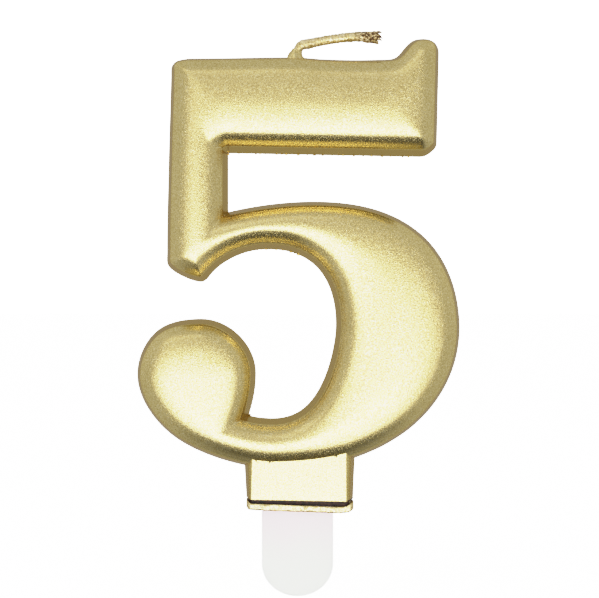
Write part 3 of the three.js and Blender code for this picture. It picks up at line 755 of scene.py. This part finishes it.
# ------------------------------------------------------------------ materials: every one procedural, on object coordinates in metres
class Nodes:
    def __init__(self, name):
        self.mat = bpy.data.materials.new(name)
        self.mat.use_nodes = True
        self.t = self.mat.node_tree
        self.bsdf = self.t.nodes["Principled BSDF"]

    def add(self, kind, **values):
        n = self.t.nodes.new("ShaderNode" + kind)
        for k, v in values.items():
            if hasattr(n, k):
                setattr(n, k, v)
            else:
                n.inputs[k.replace("_", " ")].default_value = v
        return n

    def link(self, a, b):
        self.t.links.new(a, b)
        return b

    def coords(self):
        return self.add("TexCoord").outputs["Object"]

    def ramp(self, value, stops):
        n = self.add("ValToRGB")
        while len(n.color_ramp.elements) > 1:
            n.color_ramp.elements.remove(n.color_ramp.elements[-1])
        n.color_ramp.elements[0].position, n.color_ramp.elements[0].color = stops[0][0], (*stops[0][1], 1)
        for at_, c in stops[1:]:
            n.color_ramp.elements.new(at_).color = (*c, 1)
        self.link(value, n.inputs["Fac"])
        return n.outputs["Color"]

    def noise(self, co, scale, detail=2.0, rough=0.5, out="Fac"):
        n = self.add("TexNoise", Scale=scale, Detail=detail, Roughness=rough)
        self.link(co, n.inputs["Vector"])
        return n.outputs[out]

    def math(self, op, a, b=None, c=None):
        n = self.add("Math", operation=op)
        for i, v in enumerate((a, b, c)):
            if v is None:
                continue
            if isinstance(v, (int, float)):
                n.inputs[i].default_value = v
            else:
                self.link(v, n.inputs[i])
        return n.outputs[0]

    def map(self, v, a, b, c, d, smooth=True):
        n = self.add("MapRange", interpolation_type="SMOOTHSTEP" if smooth else "LINEAR")
        self.link(v, n.inputs["Value"])
        for k, x in zip(("From Min", "From Max", "To Min", "To Max"), (a, b, c, d)):
            n.inputs[k].default_value = x
        return n.outputs["Result"]

    def mix(self, fac, a, b):
        n = self.add("Mix", data_type="RGBA")
        for key, v in (("Factor", fac), ("A", a), ("B", b)):
            sock = [i for i in n.inputs if i.name == key and i.enabled][0]
            if isinstance(v, (int, float)):
                sock.default_value = v
            elif isinstance(v, tuple):
                sock.default_value = (*v, 1)
            else:
                self.link(v, sock)
        return [o for o in n.outputs if o.enabled][0]


def gold_material(name, base, dark, light, rough, grain, face_only=True, lumps=0.0):
    """Metallic lacquer over wax: a metal with pearl flakes that tilt the light, coarser where it pooled on the face."""
    m = Nodes(name)
    co = m.coords()
    fine = m.noise(co, 4000, 2.0, 0.6)
    broad = m.noise(co, 260, 2.0, 0.5)
    flake = m.add("TexVoronoi", Scale=5200.0)
    m.link(co, flake.inputs["Vector"])
    sep = m.add("SeparateColor")
    m.link(flake.outputs["Color"], sep.inputs["Color"])
    tone = m.ramp(m.math("ADD", m.math("MULTIPLY", fine, 0.94), m.math("MULTIPLY", broad, 0.06)), [(0.36, dark), (0.52, base), (0.68, light)])
    normal = m.add("SeparateXYZ")
    m.link(m.add("TexCoord").outputs["Normal"], normal.inputs[0])
    # painted shade: the upright sides get a darker gold base colour than the face, standing in for the darker
    # reflections and shade they catch
    side_shade = m.map(m.math("ABSOLUTE", normal.outputs["Y"]), 0.10, 0.42, 0.0, 1.0)
    side_shade_colour = m.mix(0.5, tuple(0.62 * v for v in base), dark)
    m.link(m.mix(side_shade, side_shade_colour, tone), m.bsdf.inputs["Base Color"])
    m.bsdf.inputs["Metallic"].default_value = 0.97
    m.bsdf.inputs["Specular Tint"].default_value = (0.82, 0.66, 0.40, 1)
    facing = m.map(m.math("ABSOLUTE", normal.outputs["Y"]), 0.58, 0.92, 0.08 if face_only else 1.0, 1.0)
    m.link(m.math("ADD", m.math("MULTIPLY", sep.outputs["Green"], 0.10), rough - 0.05), m.bsdf.inputs["Roughness"])
    height_ = m.math("ADD", m.math("MULTIPLY", fine, 1.0), m.math("MULTIPLY", sep.outputs["Red"], 0.55))
    bump = m.add("Bump", Distance=0.00005)
    m.link(m.math("MULTIPLY", facing, grain), bump.inputs["Strength"])
    m.link(height_, bump.inputs["Height"])
    last = bump
    if lumps:
        wide = m.add("Bump", Distance=0.00012, Strength=lumps)
        m.link(m.noise(co, 900, 2.0, 0.55), wide.inputs["Height"])
        m.link(wide.outputs["Normal"], bump.inputs["Normal"])
    m.link(last.outputs["Normal"], m.bsdf.inputs["Normal"])
    return m


GOLD = (0.84, 0.685, 0.275)
gold = gold_material("gold_lacquer", GOLD, (0.62, 0.48, 0.18), (0.96, 0.84, 0.48), 0.235, 0.7)
strip_gold = gold_material("strip_gold_lacquer", (0.80, 0.65, 0.31), (0.52, 0.38, 0.14), (0.96, 0.84, 0.52), 0.30, 0.6, face_only=False, lumps=0.6)

# painted shade for the gap under the foot: near-black to dark brown, with a fine bump
groove = Nodes("gap_painted_shade")
co = groove.coords()
groove.link(groove.ramp(groove.noise(co, 1300, 3.0, 0.6), [(0.35, (0.010, 0.003, 0.001)), (0.55, (0.045, 0.012, 0.004)), (0.75, (0.13, 0.045, 0.02))]), groove.bsdf.inputs["Base Color"])
groove.bsdf.inputs["Roughness"].default_value = 0.6
gb = groove.add("Bump", Distance=0.0001, Strength=0.6)
groove.link(groove.noise(co, 2100, 3.0, 0.6), gb.inputs["Height"])
groove.link(gb.outputs["Normal"], groove.bsdf.inputs["Normal"])

plastic = Nodes("frosted_white_plastic")
co = plastic.coords()
sep = plastic.add("SeparateXYZ")
plastic.link(co, sep.inputs[0])
tall = plastic.math("ADD", sep.outputs["Z"], plastic.math("MULTIPLY", plastic.noise(co, 130, 1.0), 0.006))
plastic.link(plastic.ramp(plastic.map(tall, -0.009, 0.003, 0.0, 1.0), [(0.0, (0.84, 0.87, 0.79)), (0.45, (0.86, 0.84, 0.79)), (1.0, (0.90, 0.74, 0.80))]), plastic.bsdf.inputs["Base Color"])
plastic.bsdf.inputs["Roughness"].default_value = 0.42
plastic.bsdf.inputs["Subsurface Weight"].default_value = 0.5
plastic.bsdf.inputs["Transmission Weight"].default_value = 0.45
plastic.bsdf.inputs["Subsurface Scale"].default_value = 0.0015
plastic.bsdf.inputs["Subsurface Radius"].default_value = (1.0, 0.9, 0.8)
plastic.bsdf.inputs["IOR"].default_value = 1.49
pb = plastic.add("Bump", Distance=0.00003, Strength=0.25)
plastic.link(plastic.noise(co, 1500, 2.0), pb.inputs["Height"])
plastic.link(pb.outputs["Normal"], plastic.bsdf.inputs["Normal"])

cotton = Nodes("gilded_wick")
co = cotton.coords()
sep = cotton.add("SeparateXYZ")
cotton.link(co, sep.inputs[0])
tip = cotton.map(sep.outputs["X"], 0.0098, 0.0126, 0.0, 1.0)
cells = cotton.noise(co, 1700, 3.0, 0.65)
coarse = cotton.noise(co, 620, 2.0, 0.6)
coat = cotton.ramp(cells, [(0.30, (0.42, 0.30, 0.10)), (0.42, (0.76, 0.60, 0.26)), (0.62, (0.95, 0.83, 0.52))])
fray = cotton.ramp(cells, [(0.38, (0.07, 0.03, 0.010)), (0.46, (0.26, 0.14, 0.045)), (0.53, (0.66, 0.50, 0.22)), (0.66, (0.93, 0.82, 0.54))])
cotton.link(cotton.mix(tip, coat, fray), cotton.bsdf.inputs["Base Color"])
cotton.link(cotton.math("MULTIPLY_ADD", tip, -0.45, 0.95), cotton.bsdf.inputs["Metallic"])
cotton.link(cotton.map(coarse, 0.3, 0.7, 0.26, 0.5), cotton.bsdf.inputs["Roughness"])
cb = cotton.add("Bump", Distance=0.00012, Strength=0.7)
cotton.link(cotton.math("ADD", cells, cotton.math("MULTIPLY", coarse, 1.2)), cb.inputs["Height"])
cotton.link(cb.outputs["Normal"], cotton.bsdf.inputs["Normal"])


def dress(obj, *mats):
    obj.data.materials.clear()
    for m in mats:
        obj.data.materials.append(m.mat)


dress(figure, gold, groove)
dress(strip, strip_gold, groove)
dress(pick, plastic)
dress(wick, cotton)


def paint(obj, test, index):
    """Material slot index for the faces whose centre (mm) and normal pass the test."""
    me = obj.data
    n = len(me.polygons)
    c, nn = np.empty(n * 3), np.empty(n * 3)
    me.polygons.foreach_get("center", c)
    me.polygons.foreach_get("normal", nn)
    c, nn = c.reshape(-1, 3) / MM, nn.reshape(-1, 3)
    mark = test(c, nn)
    idx = np.zeros(n, dtype=np.int32)
    idx[mark] = index
    me.polygons.foreach_set("material_index", idx)
    me.update()


# painted shade in the deep gap between the foot and the strip: these faces get a near-black brown material instead of
# gold
paint(figure, lambda c, n: (c[:, 2] < 2.28) & ((n[:, 2] < -0.6) | (c[:, 2] < 2.16)) & (np.abs(c[:, 1]) < 3.3), 1)
paint(strip, lambda c, n: (n[:, 2] > 0.8) & (c[:, 1] > -3.2) & (c[:, 1] < 3.2) & (c[:, 0] > -9.1) & (c[:, 0] < 9.9), 1)

# ------------------------------------------------------------------ floor, light and surroundings
floor_z = cad_lo[2] - 0.0002
bpy.ops.mesh.primitive_circle_add(vertices=96, radius=9.0, fill_type="NGON", location=(0, 0, floor_z))
floor = bpy.context.object
floor.name = "studio_floor"
fm = Nodes("studio_floor_white")
fm.link(fm.ramp(fm.noise(fm.coords(), 3.0), [(0.3, (0.90, 0.90, 0.90)), (0.7, (0.93, 0.93, 0.93))]), fm.bsdf.inputs["Base Color"])
fm.bsdf.inputs["Roughness"].default_value = 0.9
fm.bsdf.inputs["Emission Color"].default_value = (1, 1, 1, 1)
fm.bsdf.inputs["Emission Strength"].default_value = 3.4
floor.data.materials.append(fm.mat)
floor.visible_glossy = False
floor.visible_diffuse = False
floor.visible_transmission = False
floor.visible_shadow = False


def softbox(name, place, aim, width, tall, radiance, color=(1, 1, 1)):
    data = bpy.data.lights.new(name, "AREA")
    data.shape, data.size, data.size_y = "RECTANGLE", width, tall
    data.energy = radiance * math.pi * width * tall
    data.color = color
    obj = bpy.data.objects.new(name, data)
    bpy.context.scene.collection.objects.link(obj)
    obj.location = place
    obj.rotation_euler = (Vector(aim) - Vector(place)).to_track_quat("-Z", "Y").to_euler()
    obj.visible_camera = False
    return obj


mid = Vector((0, 0, 0.045))
softbox("upper_softbox", (-0.5, -0.9, 1.1), mid, 1.2, 0.9, 0.45)


def front_panel(name, x0, x1, z0, z1, radiance):
    return softbox(name, ((x0 + x1) / 2, -0.40, (z0 + z1) / 2), ((x0 + x1) / 2, 0.0, (z0 + z1) / 2), x1 - x0, z1 - z0, radiance)


# one front softbox in three layers, brightest in the middle, set a little low and to the left of the lens
front_panel("front_softbox_core", -0.155, 0.120, -0.190, 0.040, 3.8)
front_panel("front_softbox_middle", -0.245, 0.190, -0.250, 0.030, 0.75)
front_panel("front_softbox_wide", -0.470, 0.320, -0.190, 0.016, 0.55)

# The room: even white walls, and a dark table edge low in front.
world = bpy.data.worlds.new("studio")
bpy.context.scene.world = world
world.use_nodes = True
wt = world.node_tree
wt.nodes.clear()


def wnode(kind, **inputs):
    n = wt.nodes.new("ShaderNode" + kind)
    for k, v in inputs.items():
        n.inputs[k].default_value = v
    return n


def wmath(op, a, b):
    n = wnode("Math")
    n.operation = op
    for i, v in enumerate((a, b)):
        if isinstance(v, (int, float)):
            n.inputs[i].default_value = v
        else:
            wt.links.new(v, n.inputs[i])
    return n.outputs[0]


def step(v, a, b, lo_=0.0, hi_=1.0):
    n = wnode("MapRange")
    n.interpolation_type = "SMOOTHSTEP"
    wt.links.new(v, n.inputs["Value"])
    for k, x in zip(("From Min", "From Max", "To Min", "To Max"), (a, b, lo_, hi_)):
        n.inputs[k].default_value = x
    return n.outputs["Result"]


sx = wnode("SeparateXYZ")
wt.links.new(wnode("TexCoord").outputs["Generated"], sx.inputs[0])
X, Y, Z = sx.outputs["X"], sx.outputs["Y"], sx.outputs["Z"]
ramp = wnode("ValToRGB")
wt.links.new(wmath("MULTIPLY_ADD", Z, 0.5), ramp.inputs["Fac"])
ramp.inputs["Fac"].links[0].from_node.inputs[2].default_value = 0.5
SKY = [(-1.0, 0.20), (-0.985, 0.20), (-0.94, 0.25), (-0.86, 0.36), (-0.70, 0.46), (-0.45, 0.50), (0.0, 0.54), (0.35, 0.60), (0.8, 0.60), (1.0, 0.54)]
els = ramp.color_ramp.elements
els[0].position, els[0].color = 0.0, (SKY[0][1],) * 3 + (1,)
els[1].position, els[1].color = 1.0, (SKY[-1][1],) * 3 + (1,)
for z, v in SKY[1:-1]:
    els.new((z + 1) / 2).color = (v, v, v, 1)
room = wmath("MULTIPLY", ramp.outputs["Color"], 1.0)
# the table edge: dark, only in the middle and low in front
edge = wmath("MULTIPLY", wmath("MULTIPLY", step(X, -0.56, -0.22), step(X, 0.72, 0.34)), wmath("MULTIPLY", step(Z, -0.60, -0.76), step(Y, 0.2, -0.1)))
room = wmath("MULTIPLY", room, wmath("SUBTRACT", 1.0, wmath("MULTIPLY", edge, 0.80)))
# a paler patch of wall up and to the left of the lens
lobe = wnode("VectorMath")
lobe.operation = "DOT_PRODUCT"
wt.links.new(sx.inputs[0].links[0].from_socket, lobe.inputs[0])
lobe.inputs[1].default_value = Vector((-0.27, -0.95, 0.14)).normalized()
side = step(lobe.outputs["Value"], math.cos(math.radians(17)), math.cos(math.radians(5)))
total = wmath("ADD", wmath("MULTIPLY", side, 0.55), room)
# behind the object the wall is a shade darker
back = step(Y, 0.25, 0.85)
total = wmath("ADD", wmath("MULTIPLY", total, wmath("SUBTRACT", 1.0, back)), wmath("MULTIPLY", back, 0.46))
env_bg, cam_bg, mixs = wnode("Background"), wnode("Background", Color=(1, 1, 1, 1), Strength=4.4), wnode("MixShader")
wt.links.new(total, env_bg.inputs["Strength"])
env_bg.inputs["Color"].default_value = (1.0, 1.0, 1.0, 1)
path = wnode("LightPath")
wt.links.new(wmath("MAXIMUM", path.outputs["Is Camera Ray"], path.outputs["Is Transmission Ray"]), mixs.inputs["Fac"])
wt.links.new(env_bg.outputs[0], mixs.inputs[1])
wt.links.new(cam_bg.outputs[0], mixs.inputs[2])
wt.links.new(mixs.outputs[0], wnode("OutputWorld").inputs["Surface"])

# film: straight up to mid tones, then a long shoulder, so highlights stay below the white of the background
view = bpy.context.scene.view_settings
view.view_transform = "Standard"
view.look = "None"
view.use_curve_mapping = True
cm = view.curve_mapping
cm.white_level = (4, 4, 4)
curve = cm.curves[3]
for x, y in ((0.125, 0.50), (0.175, 0.655), (0.25, 0.79), (0.375, 0.865), (0.5, 0.905), (0.75, 0.955)):
    curve.points.new(x, y)
cm.update()
